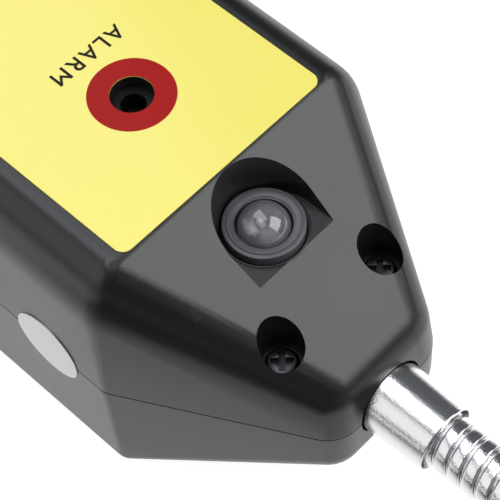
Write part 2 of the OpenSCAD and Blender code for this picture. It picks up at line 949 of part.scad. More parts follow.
module neck_root() {
    root_turns = floor(root_l / turn_l);
    color("#cfd1d4")
        translate([pivot_x - root_turns * turn_l, 0, lower_h])
            stretch(root_turns, false, true);
}

module neck_1() { neck_link(1); }
module neck_2() { neck_link(2); }
module neck_3() { neck_link(3); }
module neck_4() { neck_link(4); }
module neck_5() { neck_link(5); }
module neck_6() { neck_link(6); }
module neck_7() { neck_link(7); }
module neck_8() { neck_link(8); }
module neck_9() { neck_link(9); }
module neck_10() { neck_link(10); }

head_wall = 2;
head_x = link_l + head_wall;
spigot_r = neck_bore_d / 2 - 0.3;
socket_t = 3;
guard_in = guard_r - guard_wall;

module probe_ferrule() {
    back = head_x - probe_l;
    back_r = mouth_d / 2;
    color("#d7d9db")
        at_stretch(links)
            turned([[ferrule_bore_r + lip_r * 0.4, back], [back_r - lip_r, back],
                [back_r - lip_r * 0.3, back + lip_r * 0.3], [back_r, back + lip_r], [guard_r, head_x],
                [spigot_r + 0.1, head_x], [spigot_r + 0.1, link_l], [ferrule_bore_r, link_l],
                [ferrule_bore_r, back + lip_r * 0.4]]);
}

module sensor_socket() {
    bore = 1.4;
    color("#2a2a2c")
        at_stretch(links)
            turned([[bore, link_l - 4], [spigot_r, link_l - 4], [spigot_r, head_x], [guard_in - 0.1, head_x],
                [guard_in - 0.1, head_x + socket_t], [bore, head_x + socket_t]]);
}

module sensor_element() {
    rim = 1;
    r = element_d / 2;
    start = head_x + socket_t;
    color("#b58a3c")
        at_stretch(links)
            turned([[0, start], [r, start], [r, start + element_l - rim], [r - rim, start + element_l],
                [0, start + element_l]]);
}

module sensor_guard() {
    start = head_x + 0.1;
    end = start + guard_l;
    slot_start = start + socket_t + 3;
    slot_l = guard_l - socket_t - 3 - 6;
    rim = 2;
    vent_d = 3;
    color("#1b1b1c")
        at_stretch(links)
            difference() {
                turned([[guard_in, start], [guard_r, start], [guard_r, end - rim], [guard_r - rim * 0.3, end - rim * 0.3],
                    [guard_r - rim, end], [0, end], [0, end - guard_wall], [guard_in, end - guard_wall - rim]]);
                for (step = [0 : slots - 1])
                    rotate([step * 360 / slots, 0, 0])
                        translate([slot_start, -slot_w / 2, 0])
                            cube([slot_l, slot_w, guard_r + 1]);
                bar_x(end - 4, 8, vent_d / 2);
            }
}

upper_casing();
lower_casing();
face_label();
casing_screws();
lamp();
lamp_collar();
sounder();
circuit_board();
board_components();
board_screws();
control_pot();
control_wheel();
battery_cells();
contact_plates();
contact_springs();
battery_door();
seal_sticker();
outlet_ferrule();
sensor_lead();
neck_root();
neck_1();
neck_2();
neck_3();
neck_4();
neck_5();
neck_6();
neck_7();
neck_8();
neck_9();
neck_10();
probe_ferrule();
sensor_socket();
sensor_element();
sensor_guard();
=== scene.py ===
# %% [markdown]
# Refrigerant leak detector, dressed for the camera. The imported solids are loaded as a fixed
# frame, and every visible piece is then either a refined copy of a solid or a new piece that
# is modelled at the same place. All sizes are in metres, in the frame of the solids: +X runs
# along the probe, +Y to the left and +Z up, with the middle of the base at the origin.

# %% Load the frame
import json
import math
import bpy
from mathutils import Matrix, Vector


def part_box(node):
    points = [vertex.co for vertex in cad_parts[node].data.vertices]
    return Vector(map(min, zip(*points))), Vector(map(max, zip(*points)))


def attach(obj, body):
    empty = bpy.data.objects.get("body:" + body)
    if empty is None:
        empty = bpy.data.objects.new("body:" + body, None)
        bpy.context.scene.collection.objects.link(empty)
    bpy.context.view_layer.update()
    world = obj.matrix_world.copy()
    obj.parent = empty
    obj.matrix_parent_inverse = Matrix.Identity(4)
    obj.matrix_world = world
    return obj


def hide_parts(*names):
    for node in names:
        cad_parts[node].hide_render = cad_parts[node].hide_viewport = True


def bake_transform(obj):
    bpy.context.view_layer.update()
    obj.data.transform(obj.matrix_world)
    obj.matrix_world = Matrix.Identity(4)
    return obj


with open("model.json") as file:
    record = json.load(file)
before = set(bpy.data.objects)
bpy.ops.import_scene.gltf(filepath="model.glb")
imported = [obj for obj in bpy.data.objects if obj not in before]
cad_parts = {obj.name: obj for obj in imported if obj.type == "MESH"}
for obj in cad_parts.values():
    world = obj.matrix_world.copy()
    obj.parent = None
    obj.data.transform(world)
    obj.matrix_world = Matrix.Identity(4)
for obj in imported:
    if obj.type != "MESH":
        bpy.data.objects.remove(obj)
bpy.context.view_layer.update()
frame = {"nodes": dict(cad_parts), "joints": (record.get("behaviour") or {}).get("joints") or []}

nodes = frame["nodes"]
MM = 0.001

# %% [markdown]
# The places that the pieces share come from the solids themselves: the label gives the height
# of the face and the crease, the ferrule gives the outlet, and the joints give the pivots of
# the gooseneck. Reading them here means that nothing has to be fitted by eye.

# %% Shared places
label_low, label_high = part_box("face_label")
face_z = label_high.z
crease_x = label_high.x
lamp_low, lamp_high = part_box("lamp")
lamp_axis = Vector(((lamp_low.x + lamp_high.x) / 2, 0.0, 0.0))
collar_low, collar_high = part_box("lamp_collar")
ferrule_low, ferrule_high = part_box("outlet_ferrule")
outlet_z = (ferrule_low.z + ferrule_high.z) / 2
sounder_low, sounder_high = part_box("sounder")
port_x = (sounder_low.x + sounder_high.x) / 2
neck_joints = {j["name"]: j for j in frame["joints"] if j["name"].startswith("neck_bend_")}
pivots = [Vector(neck_joints[f"neck_bend_{k}"]["pos_m"]) for k in range(1, len(neck_joints) + 1)]
print("face at", round(face_z, 5), "crease at", round(crease_x, 5), "pivots", len(pivots))

# %% [markdown]
# Most steps start from a clean slate, because operators act on whatever is selected. These
# helpers deselect everything, switch in and out of edit mode, and close a piece: they merge
# doubles, turn the faces outwards, set the shading and attach the body.

# %% Helpers for modelling
FLAT_WEIGHT = 80


def clean_slate():
    if bpy.context.object and bpy.context.object.mode != "OBJECT":
        bpy.ops.object.mode_set(mode="OBJECT")
    bpy.ops.object.select_all(action="DESELECT")


def take(piece):
    clean_slate()
    piece.select_set(True)
    bpy.context.view_layer.objects.active = piece


def edit_all(piece):
    take(piece)
    bpy.ops.object.mode_set(mode="EDIT")
    bpy.ops.mesh.select_mode(type="VERT")
    bpy.ops.mesh.select_all(action="SELECT")


def settle(piece, merge=1e-6):
    edit_all(piece)
    bpy.ops.mesh.remove_doubles(threshold=merge)
    bpy.ops.mesh.normals_make_consistent(inside=False)
    bpy.ops.object.mode_set(mode="OBJECT")


def apply_place(piece):
    take(piece)
    bpy.ops.object.transform_apply(location=True, rotation=True, scale=True)


def add_modifier(piece, kind, **values):
    take(piece)
    modifier = piece.modifiers.new(kind.title(), kind)
    for key, value in values.items():
        setattr(modifier, key, value)
    bpy.ops.object.modifier_apply(modifier=modifier.name)


def smooth(piece, degrees):
    take(piece)
    bpy.ops.object.shade_smooth_by_angle(angle=math.radians(degrees))
    add_modifier(piece, "WEIGHTED_NORMAL", mode="FACE_AREA", weight=FLAT_WEIGHT, keep_sharp=True)


def hand_over(piece, name, material, body, slot, *replaced):
    piece.name = name
    piece.data.name = name
    piece.data.materials.clear()
    piece.data.materials.append(material)
    if replaced:
        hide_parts(*replaced)
    if body:
        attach(piece, body)
    print(name, len(piece.data.vertices), "vertices")
    return piece


# %% [markdown]
# Round pieces are turned, as on a lathe. A plane is added and cut down to one vertex, that
# vertex is extruded along the outline, and the outline is spun round the axis. The outline is
# given as pairs of distance along the axis and radius, so it reads like a workshop drawing.

# %% Lathe
def single_vertex():
    clean_slate()
    bpy.ops.mesh.primitive_plane_add(size=MM)
    piece = bpy.context.object
    bpy.ops.object.mode_set(mode="EDIT")
    bpy.ops.mesh.select_mode(type="VERT")
    bpy.ops.mesh.select_all(action="SELECT")
    bpy.ops.mesh.merge(type="CENTER")
    return piece


def extrude_by(step):
    bpy.ops.mesh.extrude_region_move(TRANSFORM_OT_translate={"value": step})


def turned(outline, steps, closed=True):
    piece = single_vertex()
    start = Vector((outline[0][0], 0.0, outline[0][1]))
    bpy.ops.transform.translate(value=start)
    points = outline + outline[:1] if closed else outline
    for before, after in zip(points, points[1:]):
        extrude_by((after[0] - before[0], 0.0, after[1] - before[1]))
    bpy.ops.mesh.select_all(action="SELECT")
    bpy.ops.mesh.spin(steps=steps, angle=2 * math.pi, center=(0, 0, 0), axis=(1, 0, 0))
    bpy.ops.object.mode_set(mode="OBJECT")
    settle(piece)
    return piece


def stand_up(piece, at):
    piece.matrix_world = Matrix.Translation(at) @ Matrix.Rotation(-math.pi / 2, 4, "Y")
    apply_place(piece)
    return piece


# %% [markdown]
# Finishes that several materials share are node groups. This one is the fine grain of a
# moulded or plated surface: small cells with a cloud of noise over them. It reads Object
# coordinates, so it stays with the piece, and puts out only a height that changes over the
# surface.

# %% Shared grain group
CELL_SHARE = 0.6
CLOUD_DETAIL = 3.0


def new_group(name, inputs, outputs):
    group = bpy.data.node_groups.new(name, "ShaderNodeTree")
    for label, default in inputs:
        socket = group.interface.new_socket(label, in_out="INPUT", socket_type="NodeSocketFloat")
        socket.default_value = default
    for label in outputs:
        group.interface.new_socket(label, in_out="OUTPUT", socket_type="NodeSocketFloat")
    return group, group.nodes.new("NodeGroupInput"), group.nodes.new("NodeGroupOutput")


grain_group, grain_in, grain_out = new_group("moulded grain", [("Scale", 3000.0)], ["Height"])
place = grain_group.nodes.new("ShaderNodeTexCoord")
cells = grain_group.nodes.new("ShaderNodeTexVoronoi")
cloud = grain_group.nodes.new("ShaderNodeTexNoise")
cloud.inputs["Detail"].default_value = CLOUD_DETAIL
blend_height = grain_group.nodes.new("ShaderNodeMath")
blend_height.operation = "MULTIPLY_ADD"
blend_height.inputs[1].default_value = CELL_SHARE
link = grain_group.links.new
link(place.outputs["Object"], cells.inputs["Vector"])
link(place.outputs["Object"], cloud.inputs["Vector"])
link(grain_in.outputs["Scale"], cells.inputs["Scale"])
link(grain_in.outputs["Scale"], cloud.inputs["Scale"])
link(cells.outputs["Distance"], blend_height.inputs[0])
link(cloud.outputs["Fac"], blend_height.inputs[2])
link(blend_height.outputs[0], grain_out.inputs["Height"])
print("group", grain_group.name)

# %% [markdown]
# The second group is what handling leaves: slow smudges, which shift colour and gloss a little,
# and small scuffs, which are the peaks of a fine noise. Both are masks that a material uses as
# it likes.

# %% Shared handling group
SMUDGE_DETAIL = 5.0
SCUFF_DETAIL = 8.0
SCUFF_ROUGHNESS = 0.7
SCUFF_FROM = 0.62
SCUFF_FULL = 0.74
handling_group, handling_in, handling_out = new_group(
    "handling", [("Scale", 40.0), ("Streak", 260.0)], ["Smudge", "Scuff"])
place = handling_group.nodes.new("ShaderNodeTexCoord")
wide = handling_group.nodes.new("ShaderNodeTexNoise")
wide.inputs["Detail"].default_value = SMUDGE_DETAIL
fine = handling_group.nodes.new("ShaderNodeTexNoise")
fine.inputs["Detail"].default_value = SCUFF_DETAIL
fine.inputs["Roughness"].default_value = SCUFF_ROUGHNESS
sharpen = handling_group.nodes.new("ShaderNodeMapRange")
sharpen.inputs["From Min"].default_value = SCUFF_FROM
sharpen.inputs["From Max"].default_value = SCUFF_FULL
link = handling_group.links.new
link(place.outputs["Object"], wide.inputs["Vector"])
link(place.outputs["Object"], fine.inputs["Vector"])
link(handling_in.outputs["Scale"], wide.inputs["Scale"])
link(handling_in.outputs["Streak"], fine.inputs["Scale"])
link(fine.outputs["Fac"], sharpen.inputs["Value"])
link(wide.outputs["Fac"], handling_out.inputs["Smudge"])
link(sharpen.outputs["Result"], handling_out.inputs["Scuff"])
print("group", handling_group.name)

# %% [markdown]
# One recipe makes every finish: the smudges move the colour and the roughness a little, the
# grain drives a bump, scuffs can lighten the colour, and what is constant sits on the shader's
# own sockets. A finish is then one call with its own colours, roughness and grain.

# %% Finish recipe
BUMP_STRENGTH = 0.6


def finish_of(name, colour, shade, rough, span, grain, depth, scuff=None, **constants):
    material = bpy.data.materials.new(name)
    material.use_nodes = True
    tree = material.node_tree
    shader = tree.nodes["Principled BSDF"]
    handling = tree.nodes.new("ShaderNodeGroup")
    handling.node_tree = handling_group
    surface = tree.nodes.new("ShaderNodeGroup")
    surface.node_tree = grain_group
    surface.inputs["Scale"].default_value = grain
    mix = tree.nodes.new("ShaderNodeMix")
    mix.data_type = "RGBA"
    mix.inputs["A"].default_value = (*colour, 1.0)
    mix.inputs["B"].default_value = (*shade, 1.0)
    rough_map = tree.nodes.new("ShaderNodeMapRange")
    rough_map.inputs["To Min"].default_value = rough - span
    rough_map.inputs["To Max"].default_value = rough + span
    bump = tree.nodes.new("ShaderNodeBump")
    bump.inputs["Strength"].default_value = BUMP_STRENGTH
    bump.inputs["Distance"].default_value = depth
    tree.links.new(handling.outputs["Smudge"], mix.inputs["Factor"])
    tree.links.new(handling.outputs["Smudge"], rough_map.inputs["Value"])
    top_colour = mix.outputs["Result"]
    if scuff:
        rub = tree.nodes.new("ShaderNodeMix")
        rub.data_type = "RGBA"
        rub.inputs["B"].default_value = (*scuff, 1.0)
        tree.links.new(handling.outputs["Scuff"], rub.inputs["Factor"])
        tree.links.new(top_colour, rub.inputs["A"])
        top_colour = rub.outputs["Result"]
    tree.links.new(top_colour, shader.inputs["Base Color"])
    tree.links.new(rough_map.outputs["Result"], shader.inputs["Roughness"])
    tree.links.new(surface.outputs["Height"], bump.inputs["Height"])
    tree.links.new(bump.outputs["Normal"], shader.inputs["Normal"])
    for key, value in constants.items():
        shader.inputs[key.replace("_", " ")].default_value = value
    return material


# %% [markdown]
# The finishes that the camera sees most. The casing is a black moulding with a dull sheen and a
# few scuffs, the label a glossy film, the ring and the word are ink, and the chrome is plated
# over turned metal, so it is soft and a little uneven and not a clean mirror.

# %% Finishes of the outside
casing_black = finish_of(
    "casing black", (0.006, 0.006, 0.0065), (0.009, 0.009, 0.0095), rough=0.33, span=0.05,
    grain=2600, depth=0.000012, scuff=(0.026, 0.025, 0.025), Specular_IOR_Level=0.62)
collar_black = finish_of(
    "collar black", (0.072, 0.071, 0.083), (0.085, 0.084, 0.096), rough=0.4, span=0.06,
    grain=5200, depth=0.000006, Specular_IOR_Level=0.7)
label_yellow = finish_of(
    "label yellow", (0.93, 0.83, 0.16), (0.92, 0.83, 0.2), rough=0.16, span=0.05,
    grain=260, depth=0.00001)
ring_red = finish_of(
    "ring red", (0.35, 0.005, 0.004), (0.39, 0.008, 0.006), rough=0.28, span=0.04,
    grain=900, depth=0.000002, Specular_IOR_Level=0.15)
print_black = finish_of(
    "print black", (0.012, 0.01, 0.006), (0.02, 0.018, 0.012), rough=0.4, span=0.05,
    grain=2000, depth=0.000002, Specular_IOR_Level=0.15)
sticker_silver = finish_of(
    "sticker silver", (0.54, 0.54, 0.56), (0.62, 0.62, 0.64), rough=0.3, span=0.06,
    grain=1500, depth=0.000002, Metallic=0.7)
chrome_plate = finish_of(
    "chrome plate", (0.92, 0.92, 0.93), (0.8, 0.8, 0.82), rough=0.18, span=0.05,
    grain=3000, depth=0.00004, Metallic=1.0)
screw_steel = finish_of(
    "screw steel", (0.05, 0.05, 0.055), (0.11, 0.11, 0.12), rough=0.38, span=0.1,
    grain=4000, depth=0.00001, Metallic=1.0)
wheel_grey = finish_of(
    "wheel grey", (0.022, 0.022, 0.024), (0.04, 0.04, 0.042), rough=0.5, span=0.1,
    grain=2600, depth=0.00002)
lamp_clear = finish_of(
    "lamp clear", (0.25, 0.25, 0.27), (0.3, 0.3, 0.32), rough=0.04, span=0.02,
    grain=700, depth=0.000001,
    IOR=1.58, Transmission_Weight=0.5, Coat_Weight=1.0, Coat_Roughness=0.03)
lamp_cup_metal = finish_of(
    "lamp cup metal", (0.7, 0.71, 0.74), (0.55, 0.56, 0.6), rough=0.22, span=0.06,
    grain=2500, depth=0.000004, Metallic=1.0)
print("materials", len(bpy.data.materials))

# %% [markdown]
# The finishes of the inside show only in glimpses, through the port, the slots and the open
# battery bay, but an unpainted piece would still be seen there.

# %% Finishes of the inside
plain_steel = finish_of(
    "plain steel", (0.55, 0.55, 0.57), (0.45, 0.45, 0.46), rough=0.3, span=0.08,
    grain=3000, depth=0.000006, Metallic=1.0)
brass_can = finish_of(
    "brass can", (0.6, 0.42, 0.16), (0.48, 0.32, 0.1), rough=0.3, span=0.08,
    grain=3000, depth=0.000006, Metallic=1.0)
# The sounder is black plastic; its colour and gloss are set darker still, as painted shade for the
# inside of the port.
sounder_black_and_shade = finish_of(
    "sounder black and shade", (0.003, 0.003, 0.003), (0.006, 0.006, 0.006), rough=0.5, span=0.1,
    grain=3000, depth=0.00001, Specular_IOR_Level=0.25)
board_green = finish_of(
    "board green", (0.02, 0.12, 0.05), (0.03, 0.17, 0.07), rough=0.3, span=0.08,
    grain=1200, depth=0.00001)
part_dark = finish_of(
    "board part dark", (0.02, 0.02, 0.022), (0.04, 0.04, 0.045), rough=0.45, span=0.1,
    grain=2600, depth=0.00001)
pot_blue = finish_of(
    "control blue", (0.03, 0.06, 0.15), (0.04, 0.08, 0.2), rough=0.4, span=0.08,
    grain=2600, depth=0.00001)
cell_sleeve = finish_of(
    "cell sleeve", (0.32, 0.22, 0.05), (0.4, 0.28, 0.08), rough=0.28, span=0.06,
    grain=1400, depth=0.000004, Metallic=0.3)
lead_rubber = finish_of(
    "lead rubber", (0.02, 0.02, 0.02), (0.035, 0.035, 0.035), rough=0.55, span=0.08,
    grain=3000, depth=0.00002)
print("materials", len(bpy.data.materials))

# %% [markdown]
# The casings, the door, the wheel, the guard and the screws keep the exact form of their solids,
# so each is a copy of its solid. The copy's loose triangles are merged, flat areas are dissolved
# into clean faces, and a narrow bevel takes the hard line off every moulded edge, which is what
# lets the edges catch light.

# %% Moulded copies of the solids
MERGE = 2e-6
FLAT_ANGLE = math.radians(0.6)
EDGE_ANGLE = 30


def moulded(node, bevel_width, segments=2):
    solid = nodes[node]
    piece = bpy.data.objects.new(node + "_skin", solid.data.copy())
    bpy.context.scene.collection.objects.link(piece)
    edit_all(piece)
    bpy.ops.mesh.customdata_custom_splitnormals_clear()
    bpy.ops.mesh.remove_doubles(threshold=MERGE)
    bpy.ops.mesh.dissolve_limited(angle_limit=FLAT_ANGLE)
    bpy.ops.object.mode_set(mode="OBJECT")
    add_modifier(piece, "BEVEL", width=bevel_width, segments=segments, limit_method="ANGLE",
                 angle_limit=math.radians(EDGE_ANGLE), use_clamp_overlap=True,
                 harden_normals=False)
    smooth(piece, EDGE_ANGLE)
    return piece


def skin(node, bevel_width, segments, material, body):
    piece = moulded(node, bevel_width, segments)
    return hand_over(piece, node + "_skin", material, body, node, node)


skin("upper_casing", 0.4 * MM, 3, casing_black, "housing")
skin("lower_casing", 0.3 * MM, 2, casing_black, "housing")
skin("battery_door", 0.25 * MM, 2, casing_black, "door")
skin("control_wheel", 0.2 * MM, 2, wheel_grey, "wheel")
skin("sensor_guard", 0.2 * MM, 2, casing_black, "stretch_10")
skin("casing_screws", 0.12 * MM, 2, screw_steel, "housing")

# %% [markdown]
# The label is a thin printed film. Its sheet is the solid's own, with softened corners. The ring
# round the sounder port is print on top of it, made as a film of its own so that its edge stays
# crisp: a circle is filled, inset to leave the port open, and given a hair of thickness.

# %% Label and its ring
RING_R = 7.8 * MM
PORT_R = 3.9 * MM
FILM = 0.02 * MM
RING_SIDES = 128


def film_ring(outer, inner, at, thick):
    clean_slate()
    bpy.ops.mesh.primitive_circle_add(vertices=RING_SIDES, radius=outer, fill_type="NGON",
                                      location=at)
    piece = bpy.context.object
    bpy.ops.object.mode_set(mode="EDIT")
    bpy.ops.mesh.select_all(action="SELECT")
    bpy.ops.mesh.inset(thickness=outer - inner)
    bpy.ops.mesh.delete(type="FACE")
    bpy.ops.mesh.select_all(action="SELECT")
    extrude_by((0, 0, thick))
    bpy.ops.object.mode_set(mode="OBJECT")
    apply_place(piece)
    settle(piece)
    return piece


skin("face_label", 0.06 * MM, 2, label_yellow, "housing")
ring = film_ring(RING_R, PORT_R, (port_x, 0, face_z), FILM)
hand_over(ring, "port_ring", ring_red, "housing", "face_label")

# %% [markdown]
# The word behind the ring says what the port is for. It is drawn with Blender's own plain
# letters, turned into a mesh, given a hair of thickness and laid on the film so that it reads
# from the tail. Pushing the mesh out along its normals makes the strokes as bold as print is.

# %% Word on the label
CAP_SHARE = 0.7
LETTER_GAP = 1.2
CURVE_STEPS = 6
STROKE = 0.07 * MM
WORD_X = 36.0 * MM
WORD_Y = 0.8 * MM
CAP_HEIGHT = 3.1 * MM


def lettering(words, cap_height, middle, turn):
    clean_slate()
    bpy.ops.object.text_add(location=(0, 0, 0))
    piece = bpy.context.object
    piece.data.body = words
    piece.data.align_x = "CENTER"
    piece.data.align_y = "CENTER"
    piece.data.size = cap_height / CAP_SHARE
    piece.data.space_character = LETTER_GAP
    piece.data.extrude = FILM / 2
    piece.data.resolution_u = CURVE_STEPS
    bpy.ops.object.convert(target="MESH")
    piece = bpy.context.object
    piece.matrix_world = Matrix.Translation(middle) @ turn
    apply_place(piece)
    settle(piece)
    add_modifier(piece, "DISPLACE", strength=STROKE, mid_level=0.0)
    return piece


word_middle = Vector((WORD_X, WORD_Y, face_z + FILM / 2))
word = lettering("ALARM", CAP_HEIGHT, word_middle, Matrix.Rotation(-math.pi / 2, 4, "Z"))
hand_over(word, "label_word", print_black, "housing", "face_label")

# %% [markdown]
# The lamp stands in a black collar. The collar is a turned tube whose rim shows two small steps
# outside and a soft edge towards the lamp, too fine for the solid, so the outline lists each of
# them as millimetres down from the top and in from the side, or out from the bore.

# %% Collar
COLLAR_SIDES = 96
BORE_GAP = 0.15 * MM
collar_r = (collar_high.x - collar_low.x) / 2
collar_top = collar_high.z
collar_foot = collar_low.z
lens_r = (lamp_high.x - lamp_low.x) / 2
bore_r = lens_r + BORE_GAP
steps_outside = [(0.45, 0.0), (0.2, 0.06), (0.08, 0.25), (0.08, 0.55), (0.2, 0.65), (0.2, 0.8),
                 (0.0, 0.9)]
steps_inside = [(0.0, 0.55), (0.12, 0.32), (0.3, 0.3), (0.36, 0.08), (0.6, 0.0)]
collar_outline = [(collar_foot, bore_r), (collar_foot, collar_r)]
collar_outline += [(collar_top - down * MM, collar_r - side * MM) for down, side in steps_outside]
collar_outline += [(collar_top - down * MM, bore_r + side * MM) for down, side in steps_inside]
collar = stand_up(turned(collar_outline, COLLAR_SIDES), lamp_axis)
smooth(collar, 40)
hand_over(collar, "lamp_collar_turned", collar_black, "housing", "lamp_collar", "lamp_collar")

# %% [markdown]
# Where the collar comes through the pocket floor, the moulding has a low rounded lip round the
# hole. It is a turned bead that is highest a third of the way out and sinks a little into the
# floor, so that no gap shows under it.

# %% Lip of the hole in the pocket floor
COLLAR_UP = 1.9 * MM
POCKET_Z = collar_high.z - COLLAR_UP
RIM_IN = collar_r + 0.3 * MM
RIM_OUT = collar_r + 0.7 * MM
RIM_H = 0.16 * MM
RIM_SINK = 0.1 * MM
RIM_STEPS = 6
WALL_SHARE = 0.7
PEAK_AT = 0.3
SPREAD = 0.5
rim_outline = [(POCKET_Z - RIM_SINK, RIM_IN), (POCKET_Z + WALL_SHARE * RIM_H, RIM_IN)]
for step in range(1, RIM_STEPS):
    share = step / RIM_STEPS
    rise = RIM_H * math.sqrt(1 - (share - PEAK_AT) ** 2 / SPREAD)
    rim_outline.append((POCKET_Z + rise, RIM_IN + share * (RIM_OUT - RIM_IN)))
rim_outline += [(POCKET_Z, RIM_OUT), (POCKET_Z - RIM_SINK, RIM_OUT)]
rim = stand_up(turned(rim_outline, COLLAR_SIDES), lamp_axis)
smooth(rim, 50)
hand_over(rim, "lamp_hole_rim", casing_black, "housing", "upper_casing")

# %% [markdown]
# The lamp itself is a clear round light. It is turned with a full dome, and its foot stops short
# of the collar's, where it would carry its leads.

# %% Lamp body
LENS_SIDES = 64
LENS_UP = 2.5 * MM
FOOT_EDGE = 0.2 * MM
DOME_STEPS = 16
dome_z = lamp_high.z - lens_r
lens_foot = collar_foot + LENS_UP
dome = [(lens_foot, 0.0), (lens_foot, lens_r - FOOT_EDGE), (lens_foot + FOOT_EDGE, lens_r),
        (dome_z, lens_r)]
for step in range(1, DOME_STEPS):
    angle = step / DOME_STEPS * math.pi / 2
    dome.append((dome_z + lens_r * math.sin(angle), lens_r * math.cos(angle)))
dome.append((dome_z + lens_r, 0.0))
lens = stand_up(turned(dome, LENS_SIDES, closed=False), lamp_axis)
smooth(lens, 50)
hand_over(lens, "lamp_lens", lamp_clear, "housing", "lamp", "lamp")

# %% [markdown]
# A metal cup sits inside the clear body, because that is what flashes through it. It is turned
# from a short outline, in millimetres below its rim and from the axis.

# %% Cup inside the lamp
CUP_SIDES = 32
CUP_DOWN = 3.4 * MM
cup_z = collar_top - CUP_DOWN
cup_points = [(1.6, 0.0), (1.6, 2.6), (0.0, 3.3), (0.0, 2.9), (0.9, 1.5), (0.9, 0.0)]
cup_outline = [(cup_z - below * MM, radius * MM) for below, radius in cup_points]
cup = stand_up(turned(cup_outline, CUP_SIDES, closed=False), lamp_axis)
smooth(cup, 30)
hand_over(cup, "lamp_cup", lamp_cup_metal, "housing", "lamp")

# %% [markdown]
# The outlet ferrule is a turned and plated cone with a soft lip. It follows the outline of its
# solid, with a mouth that is slightly wider and longer, as the photo shows it. The ferrule at
# the probe's end keeps its solid.

# %% Ferrule
FERRULE_SIDES = 96
FERRULE_R = 7.0 * MM
MOUTH_R = 6.55 * MM
MOUTH_OUT = 0.5 * MM
BORE_R = 5.65 * MM
FLARE_R = 6.2 * MM
FLARE_L = 2.8 * MM
LIP_R = 0.28 * MM
LIP_STEPS = 6
INNER_SHARE = 0.4
TAIL_R = 6.8 * MM
NOSE_L = 37.1 * MM
FLANGE_BACK = 3.7 * MM
FLANGE_T = 2.6 * MM


def rounded_lip(at, outer, inner, r):
    points = []
    for step in range(LIP_STEPS + 1):
        angle = step / LIP_STEPS * math.pi / 2
        points.append((at - r * (1 - math.sin(angle)), outer - r * (1 - math.cos(angle))))
    small = INNER_SHARE * r
    for step in range(1, LIP_STEPS + 1):
        angle = step / LIP_STEPS * math.pi / 2
        points.append((at - small * (1 - math.cos(angle)), inner + small * (1 - math.sin(angle))))
    return points


front_x = crease_x + NOSE_L
mouth_x = ferrule_high.x + MOUTH_OUT
flange_r = (ferrule_high.z - ferrule_low.z) / 2
flange_x = front_x - FLANGE_BACK
web_x = flange_x - FLANGE_T
ferrule_outline = [
    (ferrule_low.x, BORE_R), (ferrule_low.x, TAIL_R), (web_x, TAIL_R), (web_x, flange_r),
    (flange_x, flange_r), (flange_x, FERRULE_R), (front_x, FERRULE_R),
] + rounded_lip(mouth_x, MOUTH_R, FLARE_R, LIP_R) + [(mouth_x - FLARE_L, BORE_R)]
ferrule = turned(ferrule_outline, FERRULE_SIDES)
ferrule.location = (0, 0, outlet_z)
apply_place(ferrule)
smooth(ferrule, 32)
hand_over(ferrule, "outlet_ferrule_turned", chrome_plate, "housing",
          "outlet_ferrule", "outlet_ferrule")

# %% [markdown]
# The gooseneck is a wound strip: a raised band and a lower band that run round the tube as one
# long screw. Its profile is listed in millimetres along the tube and from the axis. One length
# is wound straight with a screw modifier, with spare turns, and cut square at both ends.

# %% Wind one straight length
TURN = 3.06 * MM
TURNS = 8
SPARE_TURNS = 3
TURN_SIDES = 48
LENGTH = TURN * TURNS
band = [
    (0.00, 4.40), (0.01, 4.98), (0.05, 5.14), (0.13, 5.22), (0.30, 5.26), (0.70, 5.29),
    (1.15, 5.30), (1.60, 5.29), (2.00, 5.26), (2.17, 5.22), (2.25, 5.14), (2.29, 4.98),
    (2.30, 4.40), (2.43, 4.40), (2.44, 4.66), (2.49, 4.80), (2.58, 4.87), (2.70, 4.89),
    (2.82, 4.87), (2.91, 4.80), (2.95, 4.66), (2.96, 4.40), (3.06, 4.40),
]


def wound_strip():
    piece = single_vertex()
    bpy.ops.transform.translate(value=(band[0][1] * MM, 0, band[0][0] * MM))
    for before, after in zip(band, band[1:]):
        extrude_by(((after[1] - before[1]) * MM, 0, (after[0] - before[0]) * MM))
    bpy.ops.object.mode_set(mode="OBJECT")
    add_modifier(piece, "SCREW", axis="Z", angle=2 * math.pi, screw_offset=TURN,
                 iterations=TURNS + SPARE_TURNS, steps=TURN_SIDES, render_steps=TURN_SIDES,
                 use_merge_vertices=False, use_normal_calculate=True)
    settle(piece, MERGE)
    return piece


def cut_square(piece, low, high):
    for height, lower in ((low, True), (high, False)):
        edit_all(piece)
        bpy.ops.mesh.bisect(plane_co=(0, 0, height), plane_no=(0, 0, 1), use_fill=True,
                            clear_inner=lower, clear_outer=not lower)
        bpy.ops.object.mode_set(mode="OBJECT")
    settle(piece, MERGE)


first_turn = SPARE_TURNS / 2
master = wound_strip()
cut_square(master, first_turn * TURN, (TURNS + first_turn) * TURN)
master.location = (0, 0, -(TURNS / 2 + first_turn) * TURN)
apply_place(master)
print("wound length", len(master.data.polygons), "faces")

# %% [markdown]
# Copies of that length are laid from the middle of one stretch to the middle of the next, and
# bent as the joint between them is at rest, so that the neck lies as a curve and not as a chain.

# %% Lay the lengths along the neck
STRAIGHT = 1e-6
BLENDED_BACK = (3, 9)


def heading_between(here, there):
    return math.atan2(there.z - here.z, there.x - here.x)


def along(heading):
    return Vector((math.cos(heading), 0, math.sin(heading)))


def copy_of(original):
    piece = bpy.data.objects.new("length", original.data.copy())
    bpy.context.scene.collection.objects.link(piece)
    return piece


def lay(piece, middle, heading):
    piece.matrix_world = Matrix.Translation(middle) @ Matrix.Rotation(math.pi / 2 - heading, 4, "Y")
    apply_place(piece)


